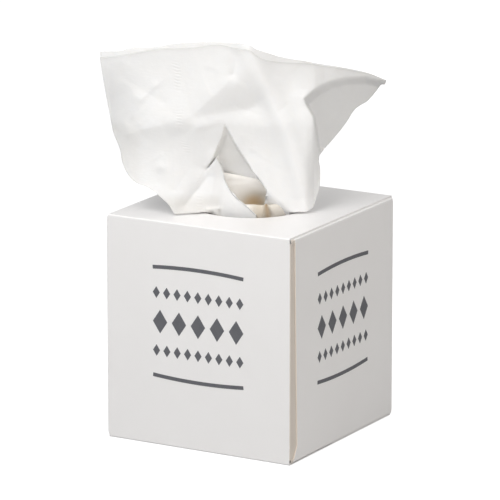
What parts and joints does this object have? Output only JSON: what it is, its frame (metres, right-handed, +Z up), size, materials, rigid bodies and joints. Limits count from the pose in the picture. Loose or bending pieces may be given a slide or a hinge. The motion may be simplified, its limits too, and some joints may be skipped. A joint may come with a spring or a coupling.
{
  "type": "tissue box",
  "caption": "Cube carton of facial tissues with a round opening in its top and one folded tissue drawn up out of it.",
  "frame": {"origin": "middle of the carton's base, on the surface it stands on", "axes": "+Z up; the wide front wall faces -Y and the wall with the glue seam faces +X"},
  "size_m": [0.1218, 0.1151, 0.2103],
  "materials": {
    "board": "satin white coated folding board",
    "tissue": "soft matt two-ply tissue",
    "ink": "matt dark grey ink"
  },
  "bodies": {
    "root": {"carton": "board", "tissue_stack": "tissue", "raised_tissue": "tissue", "next_tissue": "tissue", "front_print": "ink", "side_print": "ink"}
  },
  "joints": []
}
